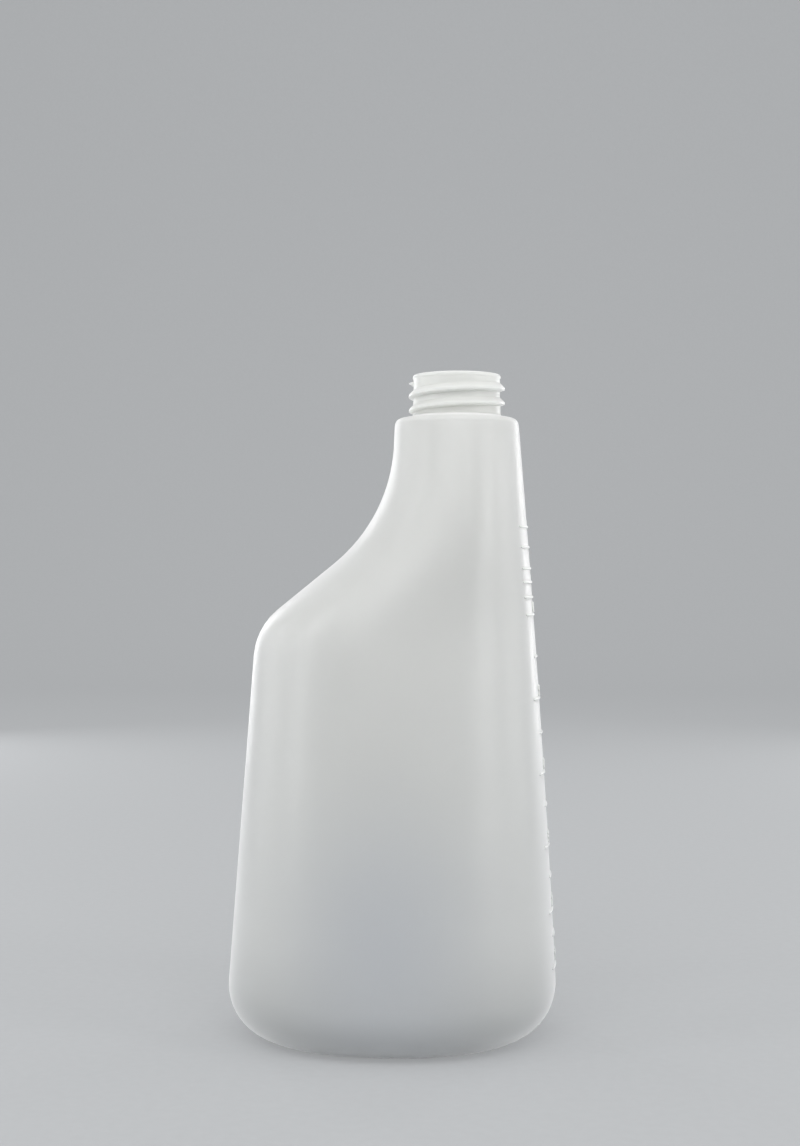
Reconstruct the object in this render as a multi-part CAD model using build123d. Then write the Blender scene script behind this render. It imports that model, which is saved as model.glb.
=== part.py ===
from build123d import *
import os
from math import ceil, cos, pi, radians, sin, sqrt, tan

# Blow-moulded trigger-spray bottle in natural polyethylene, open at its threaded neck.
# One hollow solid: an oval body with a concave grip cut into one side, an off-centre
# neck with a screw thread, a hollowed base, and a raised scale up the opposite side.
# Millimetres. Z is up, the origin is the middle of the base, -X is the grip side,
# +X is the scale side, and the mould parts on the XZ plane.

# Body outline, seen from the front
GRIP_WIDTH = 48.3          # middle of the base to the grip side, before the base edge is rounded
SCALE_WIDTH = 47.9         # and to the scale side
FACE_DEPTH = 42.9          # and to the front and back faces
FACE_BOW = 4.2             # front and back bulge out of a straight taper by this much
SCALE_SIDE_BOW = 0.75      # and the scale side by this much
BASE_SQUARENESS = 2.25     # exponent of the oval at the base: 2 is an ellipse, more is squarer
NECK_OFFSET = 18.6         # neck axis, towards the scale side

# Shoulder, round about the neck's axis
SHOULDER_HEIGHT = 175.1    # where the body's sides end and the shoulder's round begins
SHOULDER_RADIUS = 17.9
SHOULDER_ROUND = 1.9
SHOULDER_PITCH = 10.0      # degrees by which the top of the shoulder rises to the neck
SHOULDER_RISE = 1.7        # height of its outer edge, before it is rounded
SHOULDER_STEP = 0.05       # hair's step left where the mould's neck ring meets its body

# Grip side: a drafted wall, a rounded corner, a slope, a hollow for the fingers, the neck
GRIP_WALL_DRAFT = 4.2      # degrees from vertical
GRIP_CORNER_HEIGHT = 116.8  # where the wall and the slope would meet if the corner were sharp
GRIP_CORNER_RADIUS = 19.0
GRIP_SLOPE = 51.0          # degrees from vertical
GRIP_HOLLOW_RADIUS = 47.0
GRIP_NECK_DRAFT = 2.6      # degrees from vertical

# Walls and base
WALL = 0.9
BASE_WALL = 1.3
BASE_EDGE_RADIUS = 16.0
STANDING_RING = 4.0        # width of the flat ring the bottle stands on
PUSH_UP = 2.6              # height of the hollow under the base
PUSH_UP_SLOPE = 9.0        # width of the slope from the ring to the hollow's flat

# Neck finish, 28 mm with six threads to the inch
NECK_HEIGHT = 11.95        # shoulder to rim
NECK_ROOT_RADIUS = 12.65
NECK_BORE_RADIUS = 10.9
NECK_FILLET = 0.7
RIM_ROUND = 0.35
THREAD_PITCH = 25.4 / 6
THREAD_CREST_RADIUS = 13.85
THREAD_CREST_WIDTH = 0.7
THREAD_UPPER_FLANK = 45.0  # degrees from the horizontal
THREAD_LOWER_FLANK = 20.0
THREAD_LIFT = 3.75         # shoulder to the crest where it crosses the scale side
THREAD_START = -225.0      # degrees about the neck, from the scale side
THREAD_END = 545.0
THREAD_FADE = 55.0         # degrees over which each end rises out of the neck
THREAD_BURIAL = 0.3        # how far the thread is carried into the neck under it

# Raised lines on the scale side, each at its height above the base
LONG_MARKS = (20.6, 36.3, 54.7, 75.4, 96.7, 120.6)      # 100 to 600 ml
SHORT_MARKS = (29.1, 45.8, 66.1, 86.8, 108.6)           # 150 to 550 ml
DILUTION_MARKS = (125.6, 129.9, 133.8, 139.9, 145.7)    # concentrate poured in above 600 ml
LONG_MARK = 21.0
SHORT_MARK = 13.0
DILUTION_MARK = 22.0
MARK_RISE = 0.45
MARK_WIDTH = 0.8

# Fineness of the lofts
OVAL_SPANS = 8             # spans in each half of a section
BODY_SECTIONS = 30
EDGE_SECTIONS = 6          # sections in the rounded edge of the base
PUSH_UP_SECTIONS = 5
THREAD_STEP = 11.0         # degrees between the sections of the thread
MARK_SECTIONS = 16         # sections in the skin that the marks are cut from
SAME = 0.01                # heights or radii nearer than this are taken as one


def bowed(height, low, high, bow):
    """A straight taper from low at the base to high at the shoulder, bulged by bow at mid-height."""
    t = height / SHOULDER_HEIGHT
    return low + (high - low) * t + 4 * bow * t * (1 - t)


def bowed_skin(height, inset, low, high, bow):
    """The same taper, moved square to its own skin by inset."""
    slope = (high - low + 4 * bow * (1 - 2 * height / SHOULDER_HEIGHT)) / SHOULDER_HEIGHT
    return bowed(height, low, high, bow) - inset * sqrt(1 + slope**2)


def face_depth(height, inset):
    """From the XZ plane to the front face, inset millimetres inside the outer skin."""
    return bowed_skin(height, inset, FACE_DEPTH, SHOULDER_RADIUS, FACE_BOW)


def scale_side(height, inset):
    """X of the scale side, inset millimetres inside the outer skin."""
    return bowed_skin(height, inset, SCALE_WIDTH, NECK_OFFSET + SHOULDER_RADIUS, SCALE_SIDE_BOW)


def grip_side(height, inset):
    """X of the grip side: wall, convex corner, slope, concave hollow and neck, each tangent to the next."""
    wall, slope, neck = radians(GRIP_WALL_DRAFT), radians(GRIP_SLOPE), radians(GRIP_NECK_DRAFT)
    corner_x = -GRIP_WIDTH + GRIP_CORNER_HEIGHT * tan(wall)
    neck_foot_x = NECK_OFFSET - SHOULDER_RADIUS - SHOULDER_HEIGHT * tan(neck)
    # The slope leaves the sharp corner and meets the neck's line at the bend.
    bend_z = (neck_foot_x - corner_x + GRIP_CORNER_HEIGHT * tan(slope)) / (tan(slope) - tan(neck))
    bend_x = neck_foot_x + bend_z * tan(neck)
    # Centres of the two arcs: the corner's is inside the bottle and the hollow's is outside it.
    reach = GRIP_CORNER_RADIUS / sin(slope - wall)
    round_x = corner_x + reach * (sin(slope) - sin(wall))
    round_z = GRIP_CORNER_HEIGHT - reach * (cos(wall) - cos(slope))
    reach = GRIP_HOLLOW_RADIUS / sin(slope - neck)
    hollow_x = bend_x - reach * (sin(slope) - sin(neck))
    hollow_z = bend_z + reach * (cos(neck) - cos(slope))
    round_r = GRIP_CORNER_RADIUS - inset
    hollow_r = GRIP_HOLLOW_RADIUS + inset
    if height < round_z + round_r * sin(wall):
        return -GRIP_WIDTH + inset / cos(wall) + height * tan(wall)
    if height < round_z + round_r * sin(slope):
        return round_x - sqrt(round_r**2 - (height - round_z) ** 2)
    if height < hollow_z - hollow_r * sin(slope):
        return corner_x + inset / cos(slope) + (height - GRIP_CORNER_HEIGHT) * tan(slope)
    if height < hollow_z - hollow_r * sin(neck):
        return hollow_x + sqrt(hollow_r**2 - (height - hollow_z) ** 2)
    return neck_foot_x + inset / cos(neck) + height * tan(neck)


def squareness(height):
    """Exponent of the oval, easing from the base's to a circle's at the shoulder."""
    return 2 + (BASE_SQUARENESS - 2) * (1 - height / SHOULDER_HEIGHT)


def oval(height, grip, scale, depth, exponent):
    """A face of two mirrored curves that meet squarely at the mould's parting plane."""
    middle, half_width = (grip + scale) / 2, (scale - grip) / 2
    shares = [i / OVAL_SPANS for i in range(OVAL_SPANS + 1)]
    half = [Vector(scale, 0, height)]
    for i in range(1, OVAL_SPANS):
        turn = pi * shares[i]
        across = abs(cos(turn)) ** (2 / exponent)
        x = middle + half_width * (across if 2 * i < OVAL_SPANS else -across)
        half.append(Vector(x, depth * sin(turn) ** (2 / exponent), height))
    half.append(Vector(grip, 0, height))
    # The same parameters in every section keep the lofts light, and an ellipse's end speed keeps them fair.
    speed = Vector(0, pi * half[1].Y / sin(pi / OVAL_SPANS), 0)
    back = Edge.make_spline(half, tangents=[speed, -speed], parameters=shares, scale=False)
    return Face(Wire([back, back.mirror(Plane.XZ)]))


def body_section(height, inset, at=None):
    """The body's outline at a height, drawn at that height unless another is given."""
    sides = grip_side(height, inset), scale_side(height, inset)
    return oval(height if at is None else at, *sides, face_depth(height, inset), squareness(height))


def base_edge(low, inset):
    """Sections that carry the rounded edge of the base up from its flat."""
    radius = BASE_EDGE_RADIUS - inset
    for i in range(EDGE_SECTIONS):
        turn = pi / 2 * i / EDGE_SECTIONS
        yield body_section(low + radius * (1 - cos(turn)), inset + radius * (1 - sin(turn)))


def body_form(low, inset):
    """The body as a solid from its base up to the shoulder, inset from the outer skin."""
    start = low + BASE_EDGE_RADIUS - inset
    rise = (SHOULDER_HEIGHT - start) / BODY_SECTIONS
    sides = [body_section(start + rise * i, inset) for i in range(BODY_SECTIONS + 1)]
    return loft([*base_edge(low, inset), *sides])


def neck_foot(inset, neck_radius):
    """Height at which the shoulder's pitched top reaches the neck, inset from the outer skin."""
    run = SHOULDER_RADIUS - SHOULDER_STEP - inset - neck_radius
    return SHOULDER_HEIGHT - inset + SHOULDER_RISE + run * tan(radians(SHOULDER_PITCH))


def rim_height():
    """Height of the neck's rim, which is the height of the bottle."""
    return neck_foot(0, NECK_ROOT_RADIUS) + NECK_HEIGHT


def rings_where(solid, holds):
    """The circular edges of a solid that a test holds for."""
    return solid.edges().filter_by(GeomType.CIRCLE).filter_by(holds)


def turned_neck(inset, neck_radius, rim):
    """Shoulder and neck turned about the neck's axis, with the shoulder's edge rounded."""
    low, edge = SHOULDER_HEIGHT - inset, SHOULDER_RADIUS - SHOULDER_STEP - inset
    corner = (edge, low + SHOULDER_RISE)
    foot = (neck_radius, neck_foot(inset, neck_radius))
    profile = Polyline((0, low), (edge, low), corner, foot, (neck_radius, rim), (0, rim), close=True)
    turned = revolve(make_face(Plane.XZ * profile), Axis.Z)
    rings = rings_where(turned, lambda ring: abs(ring.arc_center.Z - corner[1]) < SAME)
    return Pos(NECK_OFFSET, 0, 0) * fillet(rings, SHOULDER_ROUND - inset)


def neck_form():
    """Shoulder and neck as a solid, with the neck's foot and the rim's outer edge rounded."""
    neck = turned_neck(0, NECK_ROOT_RADIUS, rim_height())
    rings = rings_where(neck, lambda ring: abs(ring.radius - NECK_ROOT_RADIUS) < SAME)
    foot, rim = rings.sort_by(Axis.Z)
    return fillet(rim, RIM_ROUND).fillet(NECK_FILLET, [foot])


def thread_form():
    """The helical thread, which rises out of the neck at one end and sinks back into it at the other."""
    sections = []
    lift = neck_foot(0, NECK_ROOT_RADIUS) + THREAD_LIFT
    root = NECK_ROOT_RADIUS - THREAD_BURIAL
    steps = ceil((THREAD_END - THREAD_START) / THREAD_STEP)
    for i in range(steps + 1):
        turn = THREAD_START + (THREAD_END - THREAD_START) * i / steps
        fade = min(1, (turn - THREAD_START) / THREAD_FADE, (THREAD_END - turn) / THREAD_FADE)
        # Where it has faded out, the crest lies halfway down the burial, so each end is inside the neck.
        least, most = THREAD_BURIAL / 2, THREAD_CREST_RADIUS - root
        rise = least + (most - least) * sin(pi / 2 * fade)
        middle = lift + THREAD_PITCH * turn / 360
        over = middle + THREAD_CREST_WIDTH / 2
        under = middle - THREAD_CREST_WIDTH / 2
        corners = (
            (root, under - rise * tan(radians(THREAD_LOWER_FLANK))),
            (root + rise, under),
            (root + rise, over),
            (root, over + rise * tan(radians(THREAD_UPPER_FLANK))),
        )
        across, along = cos(radians(turn)), sin(radians(turn))
        points = [Vector(NECK_OFFSET + r * across, r * along, z) for r, z in corners]
        sections.append(Face(Wire.make_polygon(points)))
    return loft(sections)


def push_up_form(low=0.0):
    """The hollow under the base, easing from the standing ring in to a flat, drawn above a height."""
    sections = []
    for i in range(-1, PUSH_UP_SECTIONS + 1):
        share = i / PUSH_UP_SECTIONS
        inset = BASE_EDGE_RADIUS + STANDING_RING + PUSH_UP_SLOPE * share
        sections.append(body_section(0, inset, low + PUSH_UP * sin(pi / 2 * share)))
    return loft(sections)


def marks_form():
    """The raised lines of the scale, cut from a skin that stands off the body's own."""
    low, high = min(LONG_MARKS) - MARK_WIDTH, max(DILUTION_MARKS) + MARK_WIDTH
    rise = (high - low) / MARK_SECTIONS
    skin = loft([body_section(low + rise * i, -MARK_RISE) for i in range(MARK_SECTIONS + 1)])
    bars = Part()
    sets = (LONG_MARKS, LONG_MARK), (SHORT_MARKS, SHORT_MARK), (DILUTION_MARKS, DILUTION_MARK)
    for heights, length in sets:
        for height in heights:
            bars += Pos(SCALE_WIDTH, 0, height) * Box(SCALE_WIDTH, length, MARK_WIDTH)
    return skin & bars


def hollow_form():
    """The space inside: the inset body, shoulder and bore, less the base's push-up."""
    # The bore runs on past the rim, so that it opens it cleanly.
    bore = turned_neck(WALL, NECK_BORE_RADIUS, rim_height() + RIM_ROUND)
    return (body_form(BASE_WALL, WALL) - push_up_form(BASE_WALL)) + bore


outer = body_form(0, 0) + neck_form() + thread_form() + marks_form()
bottle = outer - push_up_form() - hollow_form()
bottle.label = "bottle"
os.makedirs("parts", exist_ok=True)
export_step(bottle, "parts/bottle.step")
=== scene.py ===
"""A blow-moulded spray bottle in natural polyethylene, dressed for a studio picture.

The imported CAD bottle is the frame. Its place is taken by a finer skin worked out from the same
sizes: a hollow body with a finger grip, a threaded neck, a pushed-up base, the mould's parting
line and pinch-off, and the raised scale with its numerals. Sizes are millimetres until a mesh is
made, and the frame's own axes are kept: +Z up, +X to the scale, -X to the grip.
"""

import logging
import math
from dataclasses import dataclass
from enum import Enum

import bpy
import numpy as np
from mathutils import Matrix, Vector

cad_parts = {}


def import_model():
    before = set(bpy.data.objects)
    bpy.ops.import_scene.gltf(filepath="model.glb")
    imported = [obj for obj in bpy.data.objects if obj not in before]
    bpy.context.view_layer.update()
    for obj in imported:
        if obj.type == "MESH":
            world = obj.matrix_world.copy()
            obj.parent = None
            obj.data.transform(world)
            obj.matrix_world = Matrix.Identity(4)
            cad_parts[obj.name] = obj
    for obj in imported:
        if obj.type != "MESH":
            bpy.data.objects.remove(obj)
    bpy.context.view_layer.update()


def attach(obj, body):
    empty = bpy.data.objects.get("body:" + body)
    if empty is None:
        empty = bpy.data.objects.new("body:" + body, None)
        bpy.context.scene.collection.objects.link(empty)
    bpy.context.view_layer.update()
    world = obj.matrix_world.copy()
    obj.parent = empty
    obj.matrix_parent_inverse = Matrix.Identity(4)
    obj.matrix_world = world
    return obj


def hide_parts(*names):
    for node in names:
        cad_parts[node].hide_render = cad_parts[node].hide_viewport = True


LOG = logging.getLogger("bottle")
MM = 0.001
ROOT_BODY = "root"
BOTTLE_NODE = "bottle"


def smooth_step(values: np.ndarray, low: float, high: float) -> np.ndarray:
    """Ease from 0 below low to 1 above high: 3t^2 - 2t^3 of the clamped share t.

    Args:
        values: Where to work it out.
        low: Value at which the rise begins.
        high: Value at which it is complete.

    Returns:
        The eased share, as an array like values.
    """
    t = np.clip((values - low) / (high - low), 0.0, 1.0)
    return t * t * (3.0 - 2.0 * t)


def smooth_max(a: np.ndarray, b: np.ndarray, blend: float) -> np.ndarray:
    """The larger of two surfaces with their crease rounded: their mean plus half the hypotenuse of
    their difference and blend.

    Args:
        a: First surface.
        b: Second surface.
        blend: Width of the rounding, in the surfaces' own units.

    Returns:
        The blended surface.
    """
    return 0.5 * (a + b + np.sqrt((a - b) ** 2 + blend**2))


def make_piece(name: str, points: np.ndarray, faces: list[np.ndarray]) -> bpy.types.Object:
    """Make a smooth mesh object at the origin from points in millimetres.

    Args:
        name: Name of the object and its mesh.
        points: N by 3 array of vertices.
        faces: Arrays of vertex numbers, one row a face, three or four to a row.

    Returns:
        The object, linked to the scene.
    """
    mesh = bpy.data.meshes.new(name)
    rows = [row for block in faces for row in block.tolist()]
    mesh.from_pydata((points * MM).tolist(), [], rows)
    mesh.polygons.foreach_set("use_smooth", np.ones(len(rows), dtype=bool))
    mesh.update()
    piece = bpy.data.objects.new(name, mesh)
    bpy.context.scene.collection.objects.link(piece)
    return piece


def tube_faces(rings: int, columns: int, first: int = 0) -> np.ndarray:
    """Quads between neighbouring rings of a surface that closes on itself across its columns.

    Args:
        rings: Number of rings.
        columns: Points in each ring.
        first: Vertex number of the first ring's first point.

    Returns:
        Rows of four vertex numbers. They face outwards where the rings climb and the columns run
        counter-clockwise seen from above.
    """
    ring, column = np.meshgrid(np.arange(rings - 1), np.arange(columns), indexing="ij")
    across = (column + 1) % columns
    corners = (ring * columns + column, ring * columns + across,
               (ring + 1) * columns + across, (ring + 1) * columns + column)
    return first + np.stack(corners, axis=-1).reshape(-1, 4)


def fan_faces(pole: int, ring_start: int, columns: int, outwards: bool) -> np.ndarray:
    """Triangles that close a ring on a pole.

    Args:
        pole: Vertex number of the pole.
        ring_start: Vertex number of the ring's first point.
        columns: Points in the ring.
        outwards: True where the pole comes after the ring, False where it comes before.

    Returns:
        Rows of three vertex numbers.
    """
    column = np.arange(columns)
    here, there = ring_start + column, ring_start + (column + 1) % columns
    poles = np.full(columns, pole)
    return np.stack((here, there, poles) if outwards else (there, here, poles), axis=-1)


def closed_skin(name: str, rings: np.ndarray, start: np.ndarray, end: np.ndarray) -> bpy.types.Object:
    """Join rings of points into one closed surface with a pole at each end.

    Args:
        name: Name of the piece.
        rings: Rings by columns by 3 array.
        start: Pole before the first ring.
        end: Pole after the last ring.

    Returns:
        The new object.
    """
    count, columns, _ = rings.shape
    points = np.vstack((rings.reshape(-1, 3), start, end))
    last = (count - 1) * columns
    faces = [tube_faces(count, columns),
             fan_faces(len(points) - 2, 0, columns, False),
             fan_faces(len(points) - 1, last, columns, True)]
    return make_piece(name, points, faces)


@dataclass(frozen=True)
class BodyShape:
    """The oval body's sides as functions of height, to the same sizes as the CAD solid."""

    grip_width: float = 48.27
    scale_width: float = 47.9
    depth: float = 42.88
    face_bow: float = 4.2
    scale_bow: float = 0.75
    squareness: float = 2.25
    neck_offset: float = 18.6
    shoulder_height: float = 175.1
    shoulder_radius: float = 17.9
    wall_draft: float = 4.2
    corner_height: float = 116.8
    corner_radius: float = 19.0
    slope: float = 51.0
    hollow_radius: float = 47.0
    neck_draft: float = 2.6

    def bowed(self, z: np.ndarray, inset: np.ndarray, low: float, bow: float, high: float) -> np.ndarray:
        """A straight taper bulged by a parabola, moved square to itself by inset.

        Args:
            z: Heights.
            inset: Distance inside the outer skin.
            low: Value at the base.
            bow: Bulge at mid-height.
            high: Value at the shoulder.

        Returns:
            low + (high - low) t + 4 bow t (1 - t) - inset sqrt(1 + slope^2), with t the share of height.
        """
        t = z / self.shoulder_height
        slope = (high - low + 4 * bow * (1 - 2 * t)) / self.shoulder_height
        return low + (high - low) * t + 4 * bow * t * (1 - t) - inset * np.sqrt(1 + slope**2)

    def face(self, z: np.ndarray, inset: np.ndarray) -> np.ndarray:
        """Distance from the parting plane to the front and back faces."""
        return self.bowed(z, inset, self.depth, self.face_bow, self.shoulder_radius)

    def scale_side(self, z: np.ndarray, inset: np.ndarray) -> np.ndarray:
        """X of the side that carries the scale."""
        top = self.neck_offset + self.shoulder_radius
        return self.bowed(z, inset, self.scale_width, self.scale_bow, top)

    def grip_side(self, z: np.ndarray, inset: np.ndarray) -> np.ndarray:
        """X of the grip side: wall, convex arc, slope, concave arc and neck line, tangent in turn.

        Args:
            z: Heights.
            inset: Distance inside the outer skin.

        Returns:
            X at each height: on a straight, its foot plus height times the tangent of its angle; on
            an arc, its centre less or plus the root of radius^2 - height^2 from the centre.
        """
        wall, slope, neck = (math.radians(a) for a in (self.wall_draft, self.slope, self.neck_draft))
        tan_wall, tan_slope, tan_neck = math.tan(wall), math.tan(slope), math.tan(neck)
        corner_x = -self.grip_width + self.corner_height * tan_wall
        foot_x = self.neck_offset - self.shoulder_radius - self.shoulder_height * tan_neck
        bend_z = (foot_x - corner_x + self.corner_height * tan_slope) / (tan_slope - tan_neck)
        bend_x = foot_x + bend_z * tan_neck
        reach = self.corner_radius / math.sin(slope - wall)
        round_x = corner_x + reach * (math.sin(slope) - math.sin(wall))
        round_z = self.corner_height - reach * (math.cos(wall) - math.cos(slope))
        reach = self.hollow_radius / math.sin(slope - neck)
        hollow_x = bend_x - reach * (math.sin(slope) - math.sin(neck))
        hollow_z = bend_z + reach * (math.cos(neck) - math.cos(slope))
        round_r, hollow_r = self.corner_radius - inset, self.hollow_radius + inset
        pieces = (
            (z < round_z + round_r * math.sin(wall),
             -self.grip_width + inset / math.cos(wall) + z * tan_wall),
            (z < round_z + round_r * math.sin(slope),
             round_x - np.sqrt(np.maximum(round_r**2 - (z - round_z) ** 2, 0.0))),
            (z < hollow_z - hollow_r * math.sin(slope),
             corner_x + inset / math.cos(slope) + (z - self.corner_height) * tan_slope),
            (z < hollow_z - hollow_r * math.sin(neck),
             hollow_x + np.sqrt(np.maximum(hollow_r**2 - (z - hollow_z) ** 2, 0.0))),
        )
        above = foot_x + inset / math.cos(neck) + z * tan_neck
        return np.select([here for here, _ in pieces], [x for _, x in pieces], default=above)

    def exponent(self, z: np.ndarray) -> np.ndarray:
        """Exponent of the oval, easing from the base's to a circle's 2 at the shoulder."""
        return 2.0 + (self.squareness - 2.0) * (1.0 - z / self.shoulder_height)

    def scale_skin(self, y: np.ndarray, z: np.ndarray) -> np.ndarray:
        """X of the outer skin on the scale side, away from the parting plane.

        Args:
            y: Distance from the parting plane.
            z: Height.

        Returns:
            The oval's x at y: middle + half width (1 - |y / depth|^n)^(1/n).
        """
        none = np.zeros_like(z)
        grip, scale, n = self.grip_side(z, none), self.scale_side(z, none), self.exponent(z)
        share = (1 - np.abs(y / self.face(z, none)) ** n) ** (1 / n)
        return (grip + scale) / 2 + (scale - grip) / 2 * share


@dataclass(frozen=True)
class Section:
    """Rings of the skin: for each, its two sides, half depth, oval exponent and height."""

    grip: np.ndarray
    scale: np.ndarray
    depth: np.ndarray
    exponent: np.ndarray
    height: np.ndarray

    @staticmethod
    def stack(parts: "list[Section]") -> "Section":
        """Put several runs of rings one after another."""
        names = ("grip", "scale", "depth", "exponent", "height")
        return Section(*(np.concatenate([getattr(p, n) for p in parts]) for n in names))

    def points(self, turn: np.ndarray) -> np.ndarray:
        """The rings' points.

        Args:
            turn: Angles round the section, from the scale side towards the back face.

        Returns:
            Rings by columns by 3 array: middle + half size * sign(cos) |cos|^(2/n), and so for y.
        """
        power = (2.0 / self.exponent)[:, None]
        across, along = np.cos(turn)[None, :], np.sin(turn)[None, :]
        middle, half = ((self.grip + self.scale) / 2)[:, None], ((self.scale - self.grip) / 2)[:, None]
        x = middle + half * np.sign(across) * np.abs(across) ** power
        y = self.depth[:, None] * np.sign(along) * np.abs(along) ** power
        return np.stack((x, y, np.broadcast_to(self.height[:, None], x.shape)), axis=-1)


@dataclass(frozen=True)
class NeckShape:
    """The shoulder's edge, the neck and its screw thread, turned about the neck's axis."""

    shoulder_rise: float = 1.7
    shoulder_round: float = 1.9
    shoulder_step: float = 0.05
    top_steps: int = 4
    pitch_angle: float = 10.0
    neck_height: float = 11.95
    root_radius: float = 12.65
    bore_radius: float = 10.9
    foot_fillet: float = 0.7
    rim_round: float = 0.35
    lip_height: float = 1.0
    lip_relief: float = 0.2
    relief_above_foot: tuple[float, float] = (2.0, 6.0)
    relief_below_lip: tuple[float, float] = (-0.3, 0.2)
    thread_pitch: float = 25.4 / 6
    crest_radius: float = 13.85
    crest_width: float = 0.7
    upper_flank: float = 45.0
    lower_flank: float = 20.0
    thread_lift: float = 3.75
    thread_start: float = -225.0
    thread_end: float = 552.0
    start_fade: float = 55.0
    end_fade: float = 14.0
    end_thinning: float = 110.0
    end_width: float = 0.3
    end_flank: float = 0.25
    sunk_foot: float = 0.3
    crease: float = 0.12
    tooth_floor: float = 5.0

    def foot(self, body: BodyShape, inset: float, radius: float) -> float:
        """Height at which the shoulder's pitched top reaches a radius.

        Args:
            body: The body that the shoulder closes.
            inset: Distance inside the outer skin.
            radius: Distance from the neck's axis.

        Returns:
            The corner's height plus the run in to the radius times the tangent of the pitch.
        """
        corner = body.shoulder_height - inset + self.shoulder_rise
        run = body.shoulder_radius - self.shoulder_step - inset - radius
        return corner + run * math.tan(math.radians(self.pitch_angle))

    def shoulder_outline(self, body: BodyShape, inset: float, radius: float, steps: int) -> np.ndarray:
        """Radius and height over the shoulder, from the body's top in to a neck radius.

        Args:
            body: The body that the shoulder closes.
            inset: Distance inside the outer skin.
            radius: Where the outline ends.
            steps: Points on the rounded edge.

        Returns:
            N by 2 array: an arc of the rounded edge, tangent to the side and to the pitched top.
        """
        edge = body.shoulder_radius - self.shoulder_step - inset
        corner = body.shoulder_height - inset + self.shoulder_rise
        pitch = math.radians(self.pitch_angle)
        turn = np.linspace(0.0, math.pi / 2 - pitch, steps)
        rounding = self.shoulder_round - inset
        centre = np.array([edge - rounding, corner - rounding * math.tan((math.pi / 2 - pitch) / 2)])
        arc = centre + rounding * np.stack((np.cos(turn), np.sin(turn)), axis=-1)
        run = np.arange(1, self.top_steps + 1)[:, None] / self.top_steps
        end = np.array([radius, self.foot(body, inset, radius)])
        return np.vstack((arc, arc[-1] + (end - arc[-1]) * run))

    def root(self, z: np.ndarray, foot: float, rim: float) -> np.ndarray:
        """Radius of the plain neck: straight, relieved under the lip and flared into the shoulder.

        Args:
            z: Heights on the neck.
            foot: Height of the neck's foot.
            rim: Height of the rim.

        Returns:
            The radius: the root less the lip's relief, plus a fillet that opens as 1 - sin near the foot.
        """
        from_foot, from_lip = z - foot, z - (rim - self.lip_height)
        relieved = smooth_step(from_foot, *self.relief_above_foot)
        relieved = relieved * (1 - smooth_step(from_lip, *self.relief_below_lip))
        up = np.clip((z - foot) / self.foot_fillet, 0.0, 1.0)
        flare = self.foot_fillet * (1 - np.sqrt(1 - (1 - up) ** 2))
        return self.root_radius - self.lip_relief * relieved + flare

    def with_thread(self, turn: np.ndarray, z: np.ndarray, plain: np.ndarray, foot: float) -> np.ndarray:
        """Radius of the threaded neck.

        Args:
            turn: Angles round the neck, in radians from the scale side.
            z: Heights, as a column.
            plain: Radius without the thread, as a column.
            foot: Height of the neck's foot.

        Returns:
            The blended maximum of the plain neck and each turn of the thread: a crest of fixed width
            on a helix, with a gentle upper and a steep lower flank. It rises slowly at its start,
            and thins to a fin at its end.
        """
        radius = np.broadcast_to(plain, (len(z), len(turn)))
        upper_slope = math.tan(math.radians(self.upper_flank))
        lower_slope = math.tan(math.radians(self.lower_flank))
        sunk = self.root_radius - self.sunk_foot
        degrees = np.degrees(np.where(turn > math.pi, turn - 2 * math.pi, turn))[None, :]
        for lap in (-1, 0, 1, 2):
            total = degrees + 360.0 * lap
            inside = (total >= self.thread_start) & (total <= self.thread_end)
            fade_in = (total - self.thread_start) / self.start_fade
            fade_out = (self.thread_end - total) / self.end_fade
            rise = np.sin(math.pi / 2 * np.clip(np.minimum(fade_in, fade_out), 0.0, 1.0))
            full = smooth_step(self.thread_end - total, 0.0, self.end_thinning)
            crest = sunk + (self.crest_radius - sunk) * rise
            half = self.crest_width / 2 * (self.end_width + (1 - self.end_width) * full)
            off = z - (foot + self.thread_lift + self.thread_pitch * total / 360.0)
            off = off + (1 - full) * self.crest_width / 2
            flank = upper_slope * (self.end_flank + (1 - self.end_flank) * full)
            tooth = crest - np.maximum(off - half, 0.0) / flank - np.maximum(-off - half, 0.0) / lower_slope
            tooth = np.maximum(np.where(inside, tooth, -np.inf), self.root_radius - self.tooth_floor)
            # Far from a tooth each blend adds crease^2 / (4 floor), and half of that comes off again.
            radius = smooth_max(radius, tooth, self.crease) - self.crease**2 / (8 * self.tooth_floor)
        return radius


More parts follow.
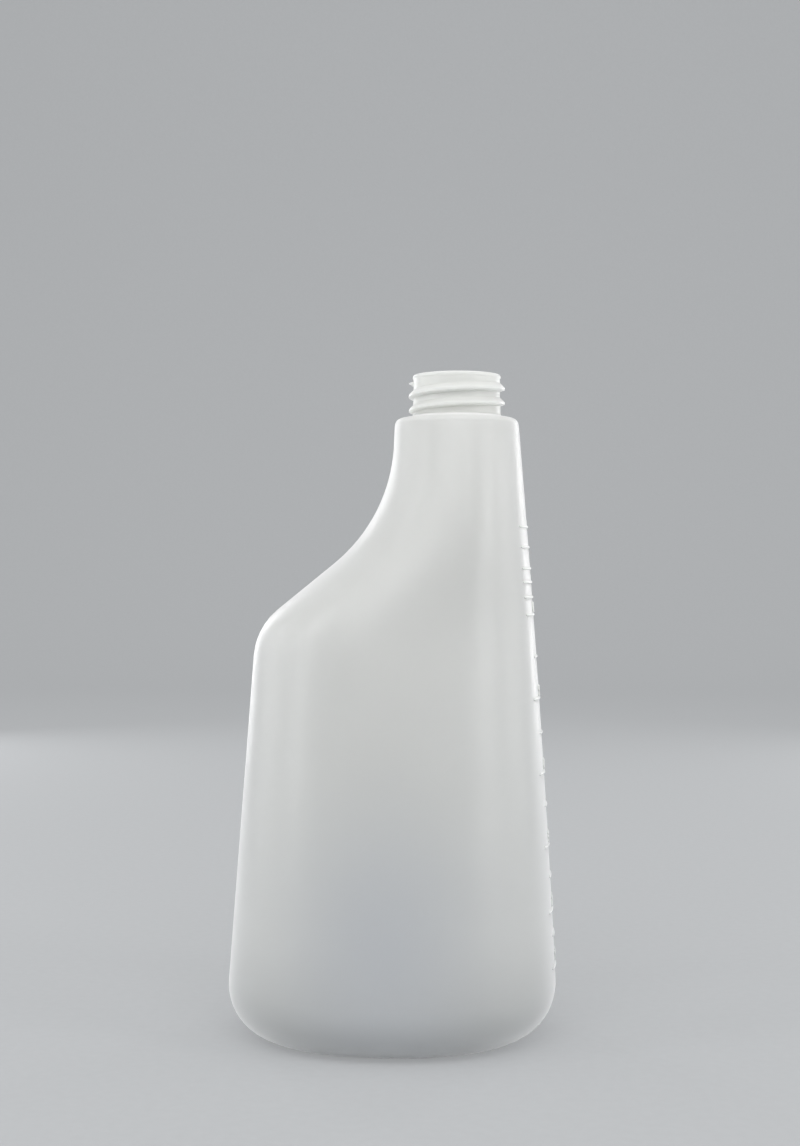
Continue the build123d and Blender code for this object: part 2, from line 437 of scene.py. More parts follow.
@dataclass(frozen=True)
class BottleSkin:
    """The whole bottle as one closed skin: push-up, base edge, sides, neck, bore and inside."""

    body: BodyShape = BodyShape()
    neck: NeckShape = NeckShape()
    wall: float = 0.9
    base_wall: float = 1.3
    edge_radius: float = 16.0
    ring_width: float = 4.0
    push_up: float = 2.6
    push_up_slope: float = 9.0
    columns: int = 260
    seam_angle: float = 0.0045
    seam_spacing: float = 2.5
    seam_rise: float = 0.085
    seam_fade: tuple[float, float] = (16.5, 22.0)
    flat_shares: tuple[float, float] = (0.12, 0.97)
    flat_steps: int = 7
    slope_steps: int = 9
    ring_start: float = 0.9
    ring_steps: int = 4
    outer_edge_steps: int = 16
    inner_edge_steps: int = 12
    outer_side_step: float = 2.2
    inner_side_step: float = 3.52
    outer_shoulder_steps: int = 9
    inner_shoulder_steps: int = 6
    neck_step: float = 0.125
    rim_steps: int = 5
    bore_steps: int = 6
    bore_below_rim: float = 1.0
    bore_above_foot: float = 0.4

    def turns(self) -> np.ndarray:
        """Angles round the skin.

        Returns:
            Evenly spread angles, with narrow columns at the two parting lines.
        """
        half = np.linspace(0.0, math.pi, self.columns // 2 + 1)[1:-1]
        near = np.array([0.0, self.seam_angle, self.seam_spacing * self.seam_angle])
        half = np.concatenate((near, half, math.pi - near[:0:-1]))
        return np.concatenate((half, half + math.pi))

    def ovals(self, z: np.ndarray, inset: np.ndarray, at: np.ndarray) -> Section:
        """Rings of the body's outline, which need not lie at the heights that they are read from.

        Args:
            z: Heights at which the outline is read.
            inset: Distance inside the outer skin.
            at: Heights at which the rings lie.

        Returns:
            The rings.
        """
        body = self.body
        sides = body.grip_side(z, inset), body.scale_side(z, inset), body.face(z, inset)
        return Section(*sides, body.exponent(z), at)

    def circles(self, outline: np.ndarray) -> Section:
        """Rings about the neck's axis from radius and height pairs."""
        (r, z), x = outline.T, self.body.neck_offset
        return Section(x - r, x + r, r, np.full_like(r, 2.0), z)

    def base_rings(self, lift: float) -> Section:
        """Rings of the base from the push-up's middle out to the start of the rounded edge.

        Args:
            lift: Height of the standing ring's plane: 0 outside, the base's wall inside.

        Returns:
            The rings: the flat by scaling, then z = push-up * sin(90 degrees * share) to the ring.
        """
        ring_inset = self.edge_radius + self.ring_width
        share = np.linspace(*self.flat_shares, self.flat_steps)
        one = np.ones_like(share)
        rim = self.ovals(0 * one, (ring_inset + self.push_up_slope) * one, (lift + self.push_up) * one)
        middle = (rim.grip + rim.scale) / 2
        flat = Section(middle + (rim.grip - middle) * share, middle + (rim.scale - middle) * share,
                       rim.depth * share, rim.exponent, rim.height)
        share = np.linspace(1.0, 0.0, self.slope_steps)
        slope = self.ovals(0 * share, ring_inset + self.push_up_slope * share,
                           lift + self.push_up * np.sin(math.pi / 2 * share))
        across = np.linspace(self.ring_width * self.ring_start, 0.0, self.ring_steps)
        ring = self.ovals(0 * across, self.edge_radius + across, lift + 0 * across)
        return Section.stack([flat, slope, ring])

    def edge_rings(self, low: float, inset: float, steps: int) -> Section:
        """Rings of the base's rounded edge.

        Args:
            low: Height of the edge's foot.
            inset: Distance inside the outer skin.
            steps: Points on the arc, its two ends among them.

        Returns:
            The rings between the ends: height low + r (1 - cos), inset by inset + r (1 - sin).
        """
        radius = self.edge_radius - inset
        turn = np.linspace(0.0, math.pi / 2, steps)[1:-1]
        z = low + radius * (1 - np.cos(turn))
        return self.ovals(z, inset + radius * (1 - np.sin(turn)), z)

    def side_rings(self, low: float, inset: float, step: float) -> Section:
        """Rings up the body's sides from the rounded edge to the shoulder.

        Args:
            low: Height of the edge's foot.
            inset: Distance inside the outer skin.
            step: Height from ring to ring, about.

        Returns:
            The rings, evenly spread.
        """
        start, end = low + self.edge_radius - inset, self.body.shoulder_height - inset
        z = np.linspace(start, end, round((end - start) / step) + 1)
        return self.ovals(z, np.full_like(z, inset), z)

    def neck_outline(self) -> tuple[np.ndarray, float, float]:
        """The plain neck's outside.

        Returns:
            Radius and height pairs from the foot to the rim's rounding, the foot's height and the rim's.
        """
        neck = self.neck
        foot = neck.foot(self.body, 0.0, neck.root_radius)
        rim = foot + neck.neck_height
        top = rim - neck.rim_round
        z = np.linspace(foot, top, round((top - foot) / self.neck_step))
        return np.stack((neck.root(z, foot, rim), z), axis=-1), foot, rim

    def outside(self, turn: np.ndarray, plain: np.ndarray, foot: float) -> np.ndarray:
        """The outer skin's points, from the push-up's middle to the top of the thread.

        Args:
            turn: Angles round the skin.
            plain: Radius and height pairs of the plain neck.
            foot: Height of the neck's foot.

        Returns:
            Rings by columns by 3 array, with the parting line raised.
        """
        body = Section.stack([self.base_rings(0.0), self.edge_rings(0.0, 0.0, self.outer_edge_steps),
                              self.side_rings(0.0, 0.0, self.outer_side_step)])
        neck_edge = self.neck.root_radius + self.neck.foot_fillet
        shoulder = self.neck.shoulder_outline(self.body, 0.0, neck_edge, self.outer_shoulder_steps)
        rings = np.concatenate((body.points(turn), self.circles(shoulder[:-1]).points(turn),
                                self.threaded_rings(turn, plain, foot)))
        return self.raise_seam(rings, turn)

    def mouth(self, rim: float) -> Section:
        """Rings over the rim, down the bore and out under the shoulder.

        Args:
            rim: Height of the rim.

        Returns:
            The rings. Each edge of the rim is a quarter circle.
        """
        neck = self.neck
        turn = np.linspace(0.0, math.pi / 2, self.rim_steps)
        by_cos, by_sin = neck.rim_round * (1 - np.cos(turn)), neck.rim_round * (1 - np.sin(turn))
        outer = np.stack((neck.root_radius - by_cos, rim - by_sin), axis=-1)
        inner = np.stack((neck.bore_radius + by_sin, rim - by_cos), axis=-1)
        bore_foot = neck.foot(self.body, self.wall, neck.bore_radius)
        z = np.linspace(rim - self.bore_below_rim, bore_foot + self.bore_above_foot, self.bore_steps)
        bore = np.stack((np.full_like(z, neck.bore_radius), z), axis=-1)
        shoulder = neck.shoulder_outline(self.body, self.wall, neck.bore_radius, self.inner_shoulder_steps)
        return self.circles(np.vstack((outer, inner, bore, shoulder[::-1])))

    def inside(self) -> Section:
        """Rings of the hollow, from the middle of its floor up to the shoulder."""
        low, wall = self.base_wall, self.wall
        return Section.stack([self.base_rings(low), self.edge_rings(low, wall, self.inner_edge_steps),
                              self.side_rings(low, wall, self.inner_side_step)])

    def build(self) -> bpy.types.Object:
        """Work out every ring from the push-up up the outside, over the rim and back down inside.

        Returns:
            The bottle's object.
        """
        turn = self.turns()
        plain, foot, rim = self.neck_outline()
        rings = np.concatenate((self.outside(turn, plain, foot), self.mouth(rim).points(turn),
                                self.inside().points(turn)[::-1]))
        return closed_skin("bottle_skin", rings, rings[0].mean(axis=0), rings[-1].mean(axis=0))

    def threaded_rings(self, turn: np.ndarray, plain: np.ndarray, foot: float) -> np.ndarray:
        """The neck's rings with the thread on them.

        Args:
            turn: Angles round the skin.
            plain: Radius and height pairs of the plain neck.
            foot: Height of the neck's foot.

        Returns:
            Rings by columns by 3 array: the threaded radius turned about the neck's axis.
        """
        z = plain[:, 1][:, None]
        radius = self.neck.with_thread(turn, z, plain[:, 0][:, None], foot)
        x = self.body.neck_offset + radius * np.cos(turn)[None, :]
        y = radius * np.sin(turn)[None, :]
        return np.stack((x, y, np.broadcast_to(z, x.shape)), axis=-1)

    def raise_seam(self, rings: np.ndarray, turn: np.ndarray) -> np.ndarray:
        """Lift the two parting lines off the skin by a fine ridge.

        Args:
            rings: Rings by columns by 3 array.
            turn: Angle of each column.

        Returns:
            The rings, moved along x by the ridge's height at the column that lies on the parting plane.
        """
        moved = rings.copy()
        on_body = smooth_step(rings[:, 0, 2], *self.seam_fade)
        moved[:, np.isclose(turn, 0.0), 0] += (self.seam_rise * on_body)[:, None]
        moved[:, np.isclose(turn, math.pi), 0] -= (self.seam_rise * on_body)[:, None]
        return moved


@dataclass(frozen=True)
class Bead:
    """A rounded ridge carried along a path on a surface, with its foot sunk into the wall."""

    width: float
    rise: float
    sink: float = 0.25
    around: int = 12
    taper: float = 0.35
    blunt: float = 0.02

    def rings(self, path: np.ndarray, normals: np.ndarray) -> np.ndarray:
        """Carry the ridge's half-round section along a path.

        Args:
            path: N by 3 points on the surface.
            normals: N by 3 unit normals there.

        Returns:
            N by around by 3 array. The section is an ellipse half the width across and rise high above
            the skin, and sink deep below it, shrunk to the ends over the taper's length.
        """
        along = np.gradient(path, axis=0)
        along /= np.linalg.norm(along, axis=1, keepdims=True)
        side = np.cross(normals, along)
        turn = np.linspace(0.0, 2 * math.pi, self.around, endpoint=False)
        travelled = np.concatenate(([0.0], np.cumsum(np.linalg.norm(np.diff(path, axis=0), axis=1))))
        to_end = np.minimum(travelled, travelled[-1] - travelled)
        from_end = 1 - np.clip(to_end / self.taper, 0.0, 1.0)
        size = np.sqrt(np.clip(1 - from_end**2, self.blunt, 1.0))[:, None]
        across = 0.5 * self.width * np.cos(turn) * size
        lift = np.where(np.sin(turn) > 0, self.rise, self.sink) * np.sin(turn) * size
        return (path[:, None, :] + side[:, None, :] * across[..., None]
                + normals[:, None, :] * lift[..., None])


class Strokes:
    """Digits as single strokes on a unit-high body, by listed points that a spline rounds."""

    WIDTH = 0.62
    POINTS = {
        "0": [(0.31, 1.0), (0.06, 0.8), (0.0, 0.5), (0.06, 0.2), (0.31, 0.0), (0.56, 0.2), (0.62, 0.5),
              (0.56, 0.8), (0.31, 1.0)],
        "1": [(0.14, 0.78), (0.36, 1.0), (0.36, 0.5), (0.36, 0.0)],
        "2": [(0.03, 0.76), (0.16, 0.96), (0.42, 0.98), (0.58, 0.76), (0.44, 0.46), (0.03, 0.02),
              (0.62, 0.02)],
        "3": [(0.04, 0.86), (0.3, 1.0), (0.56, 0.8), (0.46, 0.57), (0.24, 0.53), (0.52, 0.47), (0.6, 0.24),
              (0.32, 0.0), (0.02, 0.16)],
        "4": [(0.47, 0.0), (0.47, 0.5), (0.47, 1.0), (0.02, 0.3), (0.62, 0.3)],
        "5": [(0.55, 0.98), (0.14, 0.98), (0.08, 0.54), (0.34, 0.63), (0.59, 0.36), (0.36, 0.0),
              (0.02, 0.12)],
        "6": [(0.52, 0.97), (0.2, 0.78), (0.03, 0.34), (0.3, 0.0), (0.59, 0.28), (0.34, 0.56), (0.06, 0.36)],
    }
    SHARP = {"1": (1,), "2": (5,), "4": (2, 3), "5": (1, 2)}

    @classmethod
    def curve(cls, digit: str, steps: int) -> np.ndarray:
        """A digit's stroke as points.

        Args:
            digit: Which digit.
            steps: Points on each span.

        Returns:
            N by 2 array. Each run between sharp corners is a Catmull-Rom spline: it passes its points
            with tangents of half the chord between their neighbours.
        """
        points = np.array(cls.POINTS[digit])
        corners = [0, *cls.SHARP.get(digit, ()), len(points) - 1]
        runs = []
        for first, last in zip(corners[:-1], corners[1:]):
            run = points[first:last + 1]
            closed = np.allclose(run[0], run[-1])
            before = run[-2] if closed else 2 * run[0] - run[1]
            after = run[1] if closed else 2 * run[-1] - run[-2]
            ends = np.vstack((before, run, after))
            t = np.linspace(0.0, 1.0, steps, endpoint=False)[:, None]
            for a, b, c, d in zip(ends[:-3], ends[1:-2], ends[2:-1], ends[3:]):
                bend = 2 * a - 5 * b + 4 * c - d + t * (3 * (b - c) + d - a)
                runs.append(b + 0.5 * t * (c - a + t * bend))
        return np.vstack((*runs, points[-1:]))


@dataclass(frozen=True)
class RaisedScale:
    """The lines and numerals of the scale."""

    body: BodyShape = BodyShape()
    long_marks: tuple[float, ...] = (20.6, 36.3, 54.7, 75.4, 96.7, 120.6)
    short_marks: tuple[float, ...] = (29.1, 45.8, 66.1, 86.8, 108.6)
    dilution_marks: tuple[float, ...] = (125.6, 129.9, 133.8, 139.9, 145.7)
    long_length: float = 21.0
    short_length: float = 13.0
    dilution_length: float = 22.0
    line: Bead = Bead(width=0.85, rise=0.42, taper=1.6)
    figure: Bead = Bead(width=0.55, rise=0.42, around=10, taper=0.2)
    figure_height: float = 2.7
    figure_gap: float = 0.75
    figure_space: float = 1.3
    first_volume: int = 100
    line_steps: int = 72
    figure_steps: int = 6
    nudge: float = 0.01

    def on_skin(self, y: np.ndarray, z: np.ndarray) -> tuple[np.ndarray, np.ndarray]:
        """Points and outward normals of the scale side's skin.

        Args:
            y: Distance from the parting plane.
            z: Height.

        Returns:
            The points, and the normals (1, -dx/dy, -dx/dz) scaled to 1.
        """
        skin, nudge = self.body.scale_skin, self.nudge
        x = skin(y, z)
        by_y = (skin(y + nudge, z) - skin(y - nudge, z)) / (2 * nudge)
        by_z = (skin(y, z + nudge) - skin(y, z - nudge)) / (2 * nudge)
        normals = np.stack((np.ones_like(x), -by_y, -by_z), axis=-1)
        return np.stack((x, y, z), axis=-1), normals / np.linalg.norm(normals, axis=-1, keepdims=True)

    def line_rings(self, height: float, length: float) -> np.ndarray:
        """One line of the scale as a bead across the side."""
        y = np.linspace(-length / 2, length / 2, self.line_steps)
        return self.line.rings(*self.on_skin(y, np.full_like(y, height)))

    def figure_rings(self, digit: str, left: float, foot: float) -> np.ndarray:
        """One digit as a bead, read from the scale side with +Y to the right."""
        stroke = Strokes.curve(digit, self.figure_steps) * self.figure_height
        return self.figure.rings(*self.on_skin(left + stroke[:, 0], foot + stroke[:, 1]))

    def all_rings(self) -> list[np.ndarray]:
        """Every bead of the scale.

        Returns:
            The rings of each line, and of each digit of the volume that stands centred above a long line.
        """
        sets = ((self.long_marks, self.long_length), (self.short_marks, self.short_length),
                (self.dilution_marks, self.dilution_length))
        beads = [self.line_rings(height, length) for heights, length in sets for height in heights]
        advance = Strokes.WIDTH * self.figure_height + self.figure_space
        for index, height in enumerate(self.long_marks, start=1):
            text = str(index * self.first_volume)
            start = -(len(text) * advance - self.figure_space) / 2
            for place, digit in enumerate(text):
                beads.append(self.figure_rings(digit, start + place * advance, height + self.figure_gap))
        return beads

    def build(self) -> bpy.types.Object:
        """Make the scale.

        Returns:
            One object with all the beads.
        """
        points, faces, first = [], [], 0
        for rings in self.all_rings():
            count, around, _ = rings.shape
            points += [rings.reshape(-1, 3), rings[0].mean(axis=0)[None], rings[-1].mean(axis=0)[None]]
            low_pole, high_pole = first + count * around, first + count * around + 1
            faces += [tube_faces(count, around, first),
                      fan_faces(low_pole, first, around, False),
                      fan_faces(high_pole, first + (count - 1) * around, around, True)]
            first = high_pole + 1
        return make_piece("scale_lines_and_figures", np.vstack(points), faces)


@dataclass(frozen=True)
class PinchOff:
    """The scar across the push-up where the mould closed on the parison's tail."""

    skin: BottleSkin = BottleSkin()
    half_length: float = 19.0
    bead: Bead = Bead(width=1.5, rise=0.45, taper=1.2)
    steps: int = 60

    def build(self) -> bpy.types.Object:
        """Carry a bead along the parting plane under the base.

        Returns:
            The pinch-off's object.
        """
        x = np.linspace(-self.half_length, self.half_length, self.steps)
        path = np.stack((x, np.zeros_like(x), np.full_like(x, self.skin.push_up)), axis=-1)
        normals = np.tile(np.array([0.0, 0.0, -1.0]), (len(x), 1))
        rings = self.bead.rings(path, normals)
        return closed_skin("base_pinch_off", rings, rings[0].mean(axis=0), rings[-1].mean(axis=0))


def linear(hex_colour: str) -> tuple[float, float, float, float]:
    """Turn an sRGB hex colour to Blender's linear RGBA.

    Args:
        hex_colour: Such as "#C8CBCE".

    Returns:
        Linear red, green and blue, and an alpha of 1.
    """
    channels = [int(hex_colour[i:i + 2], 16) / 255 for i in (1, 3, 5)]
    curve = [c / 12.92 if c <= 0.04045 else ((c + 0.055) / 1.055) ** 2.4 for c in channels]
    return (*curve, 1.0)


def add_node(tree: bpy.types.NodeTree, kind: str, settings: dict, inputs: dict) -> bpy.types.Node:
    """Add a shader node with its settings and its links.

    Args:
        tree: Material's node tree.
        kind: Blender's node type.
        settings: Attribute names and values.
        inputs: Input names or numbers, each with a value or with the output socket to link to it.

    Returns:
        The node.
    """
    node = tree.nodes.new(kind)
    for name, value in settings.items():
        setattr(node, name, value)
    for name, value in inputs.items():
        if isinstance(value, bpy.types.NodeSocket):
            tree.links.new(value, node.inputs[name])
        else:
            node.inputs[name].default_value = value
    return node


@dataclass(frozen=True)
class NaturalPolyethylene:
    """High-density polyethylene without pigment, blow moulded against a fine-blasted mould.

    The melt is milky all through, so light sinks in a few millimetres, spreads and comes out soft. The
    colour is white at the shoulder, where the wall is thick as the parison is hardly drawn out, and
    greyer down the height, partly from the thinner wall and partly as painted shade. Towards the base's
    edge it is painted a darker grey, and the belly is painted greyer and a little bluer: both are
    painted shade. The surface is a dull gloss, with a faint ripple where the thickness wanders and a
    grain from the blasted mould. Its bloom is the sheen of that grain, which draws a pale line along
    the outline. The real grain is about 0.1 mm, and is drawn coarser so that it shows.
    """

    name: str = "natural_hdpe_blow_moulded"
    thick: str = "#DBDCD8"
    # The three colours that follow are painted shade, the first of them only in part.
    stretched_and_shaded: str = "#CDCFCE"
    belly: str = "#BDC1C7"
    edge: str = "#B4B6B6"
    refraction: float = 1.54
    gloss: float = 0.29
    dull: float = 0.42
    depth_mm: float = 4.0
    clearness: float = 0.12
    bloom: float = 1.0
    bloom_width: float = 0.42
    stretched_and_shaded_below_mm: float = 10.0
    thick_above_mm: float = 165.0
    edge_mm: tuple[float, float] = (4.0, 38.0)
    belly_height_mm: float = 34.0
    belly_half_width_mm: float = 40.0
    belly_half_height_mm: float = 55.0
    belly_share: float = 0.75
    cloud_mm: float = 30.0
    cloud_share: float = 0.12
    ripple_mm: float = 24.0
    ripple_depth_mm: float = 0.9
    ripple_strength: float = 0.2
    grain_mm: float = 0.6
    grain_depth_mm: float = 0.05
    grain_strength: float = 0.12

    def tint_and_painted_shade(self, tree: bpy.types.NodeTree, place: bpy.types.NodeSocket,
                  cloud: bpy.types.NodeSocket) -> bpy.types.NodeSocket:
        """Colour by the wall's thickness, with painted shade down the height, at the base's edge and in the
        belly.

        Args:
            tree: Material's node tree.
            place: Object coordinates.
            cloud: Slow noise, for the way the thickness wanders.

        Returns:
            Socket of a colour: white to grey down the height, partly the wall and partly painted shade,
            pushed about by the noise, then painted shade: darker grey towards the base's edge, and last
            towards the belly's blue-grey by 1 - distance from its middle over its half size.
        """
        height = add_node(tree, "ShaderNodeSeparateXYZ", {}, {"Vector": place}).outputs["Z"]
        # White to grey down the height: partly the wall's thickness, partly painted shade darker towards the
        # base.
        share = add_node(tree, "ShaderNodeMapRange", {"interpolation_type": "SMOOTHSTEP"}, {
            "Value": height, "From Min": self.stretched_and_shaded_below_mm * MM, "From Max": self.thick_above_mm * MM,
            "To Min": 0.0, "To Max": 1.0 - self.cloud_share}).outputs["Result"]
        share = add_node(tree, "ShaderNodeMath", {"operation": "MULTIPLY_ADD"}, {
            0: cloud, 1: self.cloud_share, 2: share}).outputs[0]
        tint = add_node(tree, "ShaderNodeMix", {"data_type": "RGBA"}, {
            "Factor": share, "A": linear(self.stretched_and_shaded), "B": linear(self.thick)}).outputs[2]
        # Painted shade: darker grey towards the base's edge.
        low, high = self.edge_mm
        painted_base_shade = add_node(tree, "ShaderNodeMapRange", {"interpolation_type": "SMOOTHSTEP"}, {
            "Value": height, "From Min": low * MM, "From Max": high * MM, "To Min": 1.0, "To Max": 0.0})
        tint = add_node(tree, "ShaderNodeMix", {"data_type": "RGBA"}, {
            "Factor": painted_base_shade.outputs["Result"], "A": tint, "B": linear(self.edge)}).outputs[2]
        # Painted shade: greyer and bluer towards the middle of the belly.
        size = 1 / (self.belly_half_width_mm * MM), 0.0, 1 / (self.belly_half_height_mm * MM)
        middle = 0.0, 0.0, -self.belly_height_mm / self.belly_half_height_mm
        from_middle = add_node(tree, "ShaderNodeMapping", {}, {
            "Vector": place, "Scale": size, "Location": middle}).outputs["Vector"]
        away = add_node(tree, "ShaderNodeVectorMath", {"operation": "LENGTH"}, {0: from_middle})
        painted_belly_shade = add_node(tree, "ShaderNodeMapRange", {"interpolation_type": "SMOOTHSTEP"}, {
            "Value": away.outputs["Value"], "From Min": 0.0, "From Max": 1.0,
            "To Min": self.belly_share, "To Max": 0.0}).outputs["Result"]
        return add_node(tree, "ShaderNodeMix", {"data_type": "RGBA"}, {
            "Factor": painted_belly_shade, "A": tint, "B": linear(self.belly)}).outputs[2]

    def build(self) -> bpy.types.Material:
        """Make the material.

        Returns:
            The material, on Object coordinates.
        """
        material = bpy.data.materials.new(self.name)
        material.use_nodes = True
        tree = material.node_tree
        tree.nodes.clear()
        place = add_node(tree, "ShaderNodeTexCoord", {}, {}).outputs["Object"]
        cloud = add_node(tree, "ShaderNodeTexNoise", {}, {
            "Vector": place, "Scale": 1 / (self.cloud_mm * MM), "Detail": 2.0,
            "Roughness": 0.4}).outputs["Fac"]
        ripple = add_node(tree, "ShaderNodeTexNoise", {}, {
            "Vector": place, "Scale": 1 / (self.ripple_mm * MM), "Detail": 1.0})
        grain = add_node(tree, "ShaderNodeTexNoise", {}, {
            "Vector": place, "Scale": 1 / (self.grain_mm * MM), "Detail": 2.0, "Roughness": 0.6})
        rough = add_node(tree, "ShaderNodeMapRange", {}, {
            "Value": cloud, "To Min": self.gloss, "To Max": self.dull})
        waves = add_node(tree, "ShaderNodeBump", {}, {
            "Strength": self.ripple_strength, "Distance": self.ripple_depth_mm * MM,
            "Height": ripple.outputs["Fac"]})
        blast = add_node(tree, "ShaderNodeBump", {}, {
            "Strength": self.grain_strength, "Distance": self.grain_depth_mm * MM,
            "Height": grain.outputs["Fac"], "Normal": waves.outputs["Normal"]})
        shader = add_node(tree, "ShaderNodeBsdfPrincipled", {"subsurface_method": "RANDOM_WALK"}, {
            "Base Color": self.tint_and_painted_shade(tree, place, cloud), "Roughness": rough.outputs["Result"],
            "IOR": self.refraction, "Normal": blast.outputs["Normal"], "Subsurface Weight": 1.0,
            "Subsurface Radius": (1.0, 1.0, 1.0), "Subsurface Scale": self.depth_mm * MM,
            "Transmission Weight": self.clearness,
            "Sheen Weight": self.bloom, "Sheen Roughness": self.bloom_width})
        add_node(tree, "ShaderNodeOutputMaterial", {}, {"Surface": shader.outputs["BSDF"]})
        return material


@dataclass(frozen=True)
class PaperSweep:
    """Matt background paper, rolled out under the bottle and up behind it."""

    name: str = "matt_background_paper"
    colour: str = "#BBBDBF"
    shade: str = "#B6B8BA"
    even_share: float = 0.6
    fibre_mm: float = 3.0
    half_width: float = 3.0
    clear_mm: float = 0.05
    front: float = -1.6
    back: float = 2.2
    bend_radius: float = 0.8
    bend_steps: int = 24
    height: float = 3.0

    def material(self) -> bpy.types.Material:
        """Make the paper's material.

        Returns:
            Matt paper with a faint fibre mottle. To the camera, and to what glossy and clear surfaces
            show, part of its colour is given off evenly, so that the wall is as pale as the floor.
        """
        material = bpy.data.materials.new(self.name)
        material.use_nodes = True
        tree = material.node_tree
        tree.nodes.clear()
        place = add_node(tree, "ShaderNodeTexCoord", {}, {}).outputs["Object"]
        fibre = add_node(tree, "ShaderNodeTexNoise", {}, {
            "Vector": place, "Scale": 1 / (self.fibre_mm * MM)})
        tint = add_node(tree, "ShaderNodeMix", {"data_type": "RGBA"}, {
            "Factor": fibre.outputs["Fac"], "A": linear(self.shade), "B": linear(self.colour)}).outputs[2]
        lit = add_node(tree, "ShaderNodeBsdfPrincipled", {}, {"Base Color": tint, "Roughness": 0.85})
        even = add_node(tree, "ShaderNodeEmission", {}, {"Color": tint})
        ray = add_node(tree, "ShaderNodeLightPath", {}, {}).outputs
        seen = add_node(tree, "ShaderNodeMath", {"operation": "MAXIMUM"}, {
            0: ray["Is Camera Ray"], 1: ray["Is Glossy Ray"]}).outputs[0]
        seen = add_node(tree, "ShaderNodeMath", {"operation": "MAXIMUM"}, {
            0: seen, 1: ray["Is Transmission Ray"]}).outputs[0]
        share = add_node(tree, "ShaderNodeMath", {"operation": "MULTIPLY"}, {0: seen, 1: self.even_share})
        mixed = add_node(tree, "ShaderNodeMixShader", {}, {
            0: share.outputs[0], 1: lit.outputs["BSDF"], 2: even.outputs["Emission"]})
        add_node(tree, "ShaderNodeOutputMaterial", {}, {"Surface": mixed.outputs["Shader"]})
        return material

    def build(self) -> bpy.types.Object:
        """Make the sweep: floor, quarter-round bend and wall, carried across its width.

        Returns:
            The sweep's object, in metres.
        """
        turn = np.linspace(0.0, math.pi / 2, self.bend_steps)
        bend_y = self.back - self.bend_radius + self.bend_radius * np.sin(turn)
        bend_z = self.bend_radius * (1 - np.cos(turn))
        y = np.concatenate(([self.front, 0.0], bend_y, [self.back]))
        z = np.concatenate(([0.0, 0.0], bend_z, [self.height])) - self.clear_mm * MM
        x = np.array([-self.half_width, self.half_width])
        points = np.stack((np.tile(x, len(y)), np.repeat(y, 2), np.repeat(z, 2)), axis=-1)
        row = np.arange(len(y) - 1) * 2
        quads = np.stack((row, row + 1, row + 3, row + 2), axis=-1)
        sweep = make_piece("paper_sweep", points / MM, [quads])
        sweep.data.materials.append(self.material())
        return sweep


class Lamp(Enum):
    """Softboxes: place, aim, width and height in metres, and power in watts."""

    FRONT = ((0.0, -1.1, 1.1), (0.0, 0.0, 0.12), 1.8, 0.9, 14.5)
    LEFT = ((-0.9, -0.45, 0.46), (0.0, 0.0, 0.10), 0.25, 0.84, 2.7)
    RIGHT = ((0.9, -0.45, 0.46), (0.0, 0.0, 0.10), 0.25, 0.84, 3.0)
    REAR_LEFT = ((-0.52, 0.76, 0.26), (0.0, 0.0, 0.10), 0.18, 0.48, 1.4)
    REAR_RIGHT = ((0.52, 0.76, 0.26), (0.0, 0.0, 0.10), 0.18, 0.48, 1.4)
    SIDE_LEFT = ((-0.95, 0.12, 0.32), (0.0, 0.0, 0.08), 0.5, 0.54, 1.6)
    SIDE_RIGHT = ((0.95, 0.12, 0.32), (0.0, 0.0, 0.08), 0.5, 0.54, 1.45)
    TOP = ((0.0, 0.7, 1.6), (0.0, 0.7, 0.0), 1.8, 1.8, 6.0)


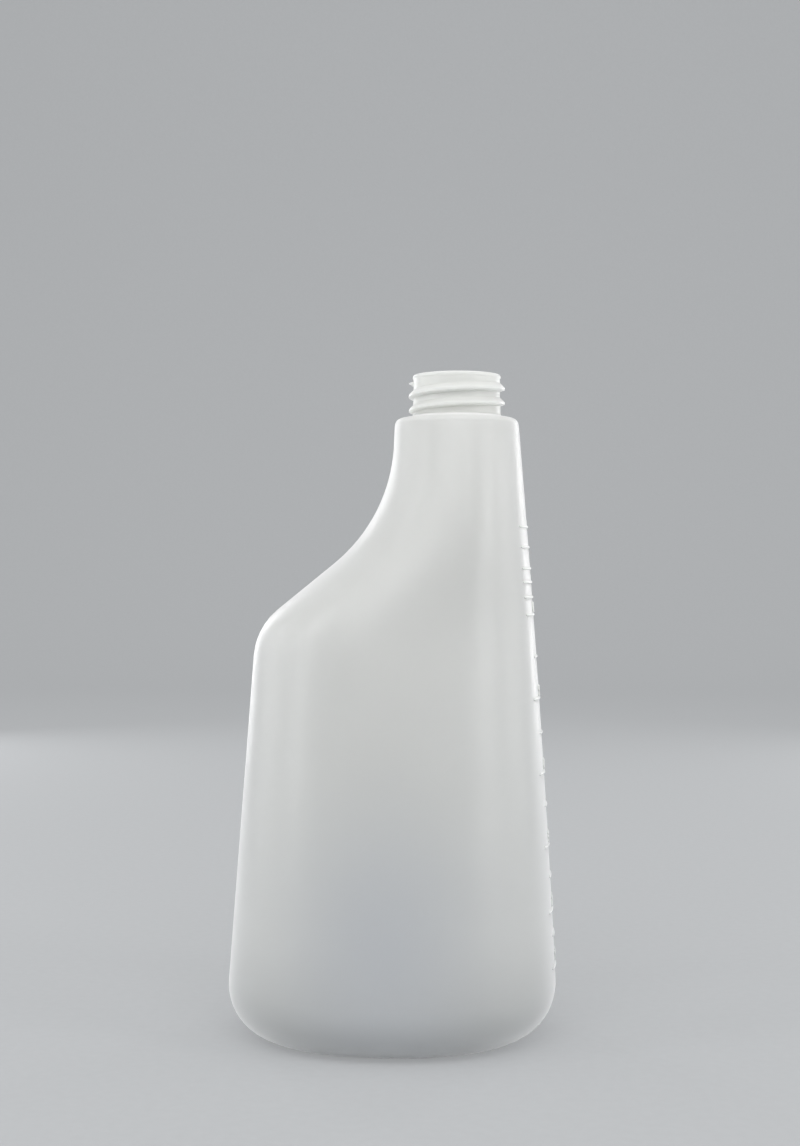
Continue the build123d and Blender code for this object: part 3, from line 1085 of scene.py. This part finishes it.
@dataclass(frozen=True)
class Studio:
    """Lamps, world and camera."""

    world_colour: str = "#E4E5E6"
    world_strength: float = 0.54
    camera_distance: float = 0.483
    camera_height: float = 0.1325
    camera_turn: float = 3.6
    camera_shift_right: float = 0.00215
    focal_pixels: float = 1663.0
    frame_pixels: float = 1146.0
    sensor_mm: float = 36.0

    def light(self) -> None:
        """Set the world's even light and hang the softboxes."""
        world = bpy.data.worlds.new("studio_air")
        world.use_nodes = True
        ground = world.node_tree.nodes["Background"]
        ground.inputs["Color"].default_value = linear(self.world_colour)
        ground.inputs["Strength"].default_value = self.world_strength
        bpy.context.scene.world = world
        for lamp in Lamp:
            place, aim, width, height, power = lamp.value
            data = bpy.data.lights.new("softbox_" + lamp.name.lower(), "AREA")
            data.shape = "RECTANGLE"
            data.size, data.size_y, data.energy = width, height, power
            softbox = bpy.data.objects.new(data.name, data)
            softbox.location = place
            softbox.rotation_euler = (Vector(aim) - Vector(place)).to_track_quat("-Z", "Y").to_euler()
            bpy.context.scene.collection.objects.link(softbox)

    def camera(self) -> bpy.types.Object:
        """Set up the camera level, square to the bottle's front but turned a little to the scale.

        Returns:
            The camera, which is also the scene's.
        """
        data = bpy.data.cameras.new("studio_camera")
        data.sensor_fit = "VERTICAL"
        data.sensor_height = self.sensor_mm
        data.lens = self.focal_pixels / self.frame_pixels * self.sensor_mm
        data.clip_start = 0.01
        turn = math.radians(self.camera_turn)
        right = Vector((math.cos(turn), math.sin(turn), 0.0))
        back = Vector((math.sin(turn), -math.cos(turn), 0.0))
        camera = bpy.data.objects.new("studio_camera", data)
        camera.location = right * self.camera_shift_right + back * self.camera_distance
        camera.location.z = self.camera_height
        camera.rotation_euler = (math.pi / 2, 0.0, turn)
        bpy.context.scene.collection.objects.link(camera)
        bpy.context.scene.camera = camera
        return camera


def corners(bounds: tuple) -> list[list[float]]:
    """Plain lists from a box's two corners."""
    return [[float(value) for value in corner] for corner in bounds]


def main() -> None:
    """Build the bottle's pieces, dress them and set the studio."""
    logging.basicConfig(level=logging.INFO, format="%(name)s: %(message)s")
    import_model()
    plastic = NaturalPolyethylene().build()
    # Beads overlap the wall and one another, where light that sank deep would come out dark.
    relief = NaturalPolyethylene(name="natural_hdpe_raised_marks", depth_mm=0.25, clearness=0.0).build()
    skin = BottleSkin().build()
    dressed = ((skin, plastic), (RaisedScale().build(), relief), (PinchOff().build(), relief))
    for piece, material in dressed:
        piece.data.materials.append(material)
        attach(piece, ROOT_BODY)
        LOG.info("%s: %d faces", piece.name, len(piece.data.polygons))
    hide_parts(BOTTLE_NODE)
    sweep = PaperSweep().build()
    studio = Studio()
    studio.light()
    studio.camera()
    bpy.context.scene.view_settings.view_transform = "Standard"


if __name__ == "__main__":
    main()
